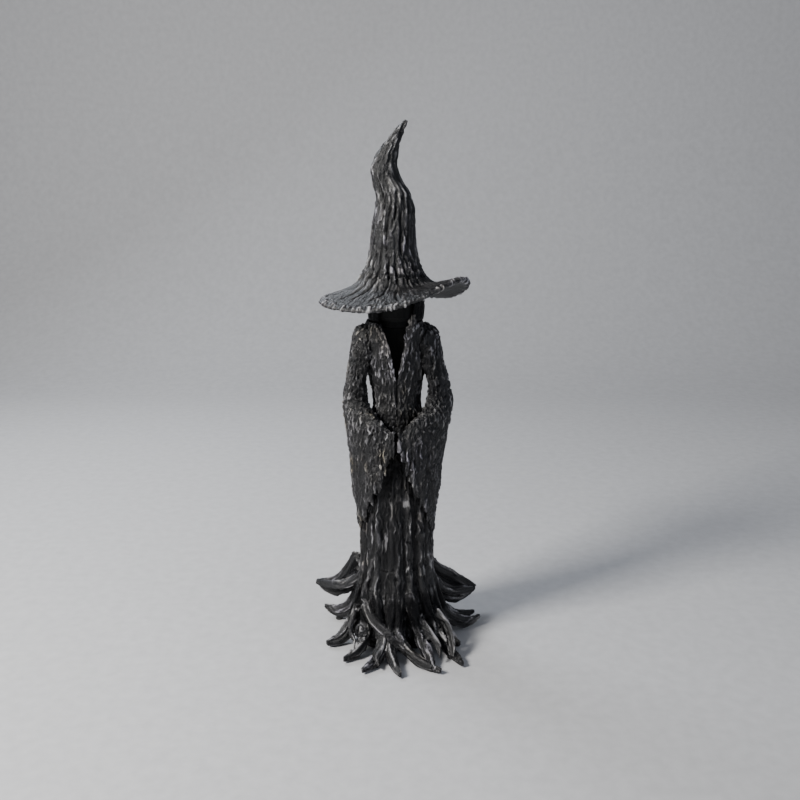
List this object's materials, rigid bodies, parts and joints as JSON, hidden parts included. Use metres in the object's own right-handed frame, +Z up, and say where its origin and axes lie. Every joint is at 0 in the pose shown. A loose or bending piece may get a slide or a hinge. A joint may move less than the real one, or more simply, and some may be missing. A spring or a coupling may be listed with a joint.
{
  "type": "animated witch figure",
  "caption": "Tabletop witch figure in cast bark texture on a root foot; pointed hat, hood and blank face turn side to side by an internal gear motor.",
  "frame": {"origin": "centre of the footprint on the floor, under the turning axis of the head", "axes": "+Z up, -Y is the way the figure faces, +X towards its left hand (the viewer's right)"},
  "size_m": [0.1589, 0.1639, 0.4568],
  "materials": {
    "bark_resin": "cast polyresin, near-black charcoal, bark relief dry-brushed silver grey, low sheen",
    "void_black": "flat black, no sheen",
    "black_abs": "fine moulded texture",
    "nylon": "natural nylon, satin",
    "brass": "turned",
    "steel": "zinc plated, satin",
    "board_green": "green solder mask",
    "cell_wrap": "plain shrink wrap, unmarked",
    "felt": "black felt",
    "lead_red": "insulated lead",
    "lead_black": "insulated lead"
  },
  "bodies": {
    "figure": {"base_plate": "black_abs", "base_screw_210": "steel", "base_screw_330": "steel", "base_screw_90": "steel", "battery_box": "black_abs", "battery_cell_1": "cell_wrap", "battery_cell_2": "cell_wrap", "battery_cell_3": "cell_wrap", "control_board": "board_green", "door_pin": "steel", "foot_pad_1": "felt", "foot_pad_2": "felt", "foot_pad_3": "felt", "foot_pad_4": "felt", "foot_pad_5": "felt", "frame_screw_140": "steel", "frame_screw_20": "steel", "frame_screw_260": "steel", "gear_frame": "black_abs", "gear_motor": "steel", "gear_top_plate": "black_abs", "idler_axle": "steel", "lapel_left": "bark_resin", "lapel_right": "bark_resin", "motor_lead_black": "lead_black", "motor_lead_red": "lead_red", "neck_liner": "void_black", "robe_front": "bark_resin", "robe_rear": "bark_resin", "root_foot": "bark_resin", "shaft_bush_lower": "brass", "shaft_bush_upper": "brass", "shell_screw_l125": "steel", "shell_screw_l226": "steel", "shell_screw_r125": "steel", "shell_screw_r226": "steel", "sleeve_left": "bark_resin", "sleeve_right": "bark_resin", "switch_body": "black_abs", "top_contact": "steel"},
    "head": {"hat": "bark_resin", "hat_screw_l": "steel", "hat_screw_r": "steel", "hood": "bark_resin", "face_core": "void_black", "head_hub": "black_abs", "grub_screw": "steel", "drive_shaft": "steel", "output_gear": "nylon", "shaft_clip": "steel"},
    "idler": {"idler_gear": "nylon"},
    "pinion": {"motor_pinion": "brass"},
    "switch": {"switch_knob": "black_abs"},
    "door": {"battery_door": "black_abs", "door_contact": "steel", "door_screw": "steel"}
  },
  "joints": [
    {"name": "head_turn", "type": "hinge", "parent": "figure", "child": "head", "pos_m": [0, 0, 0.3], "axis": [0, 0, 1], "range_deg": [-35, 35]},
    {"name": "idler_spin", "type": "hinge", "parent": "figure", "child": "idler", "pos_m": [0, 0.015, 0.1047], "axis": [0, 0, 1], "range_deg": [-53, 53]},
    {"name": "pinion_spin", "type": "hinge", "parent": "figure", "child": "pinion", "pos_m": [0.009, 0.015, 0.1047], "axis": [0, 0, 1], "range_deg": [-106, 106]},
    {"name": "switch_slide", "type": "slide", "parent": "figure", "child": "switch", "axis": [1, 0, 0], "range_m": [0, 0.0042]},
    {"name": "battery_door_hinge", "type": "hinge", "parent": "figure", "child": "door", "pos_m": [0, -0.0252, 0.00405], "axis": [-1, 0, 0], "range_deg": [0, 100]}
  ],
  "couplings": [
    {"joint": "idler_spin", "follows": "head_turn", "ratio": -1.5},
    {"joint": "pinion_spin", "follows": "head_turn", "ratio": 3}
  ]
}
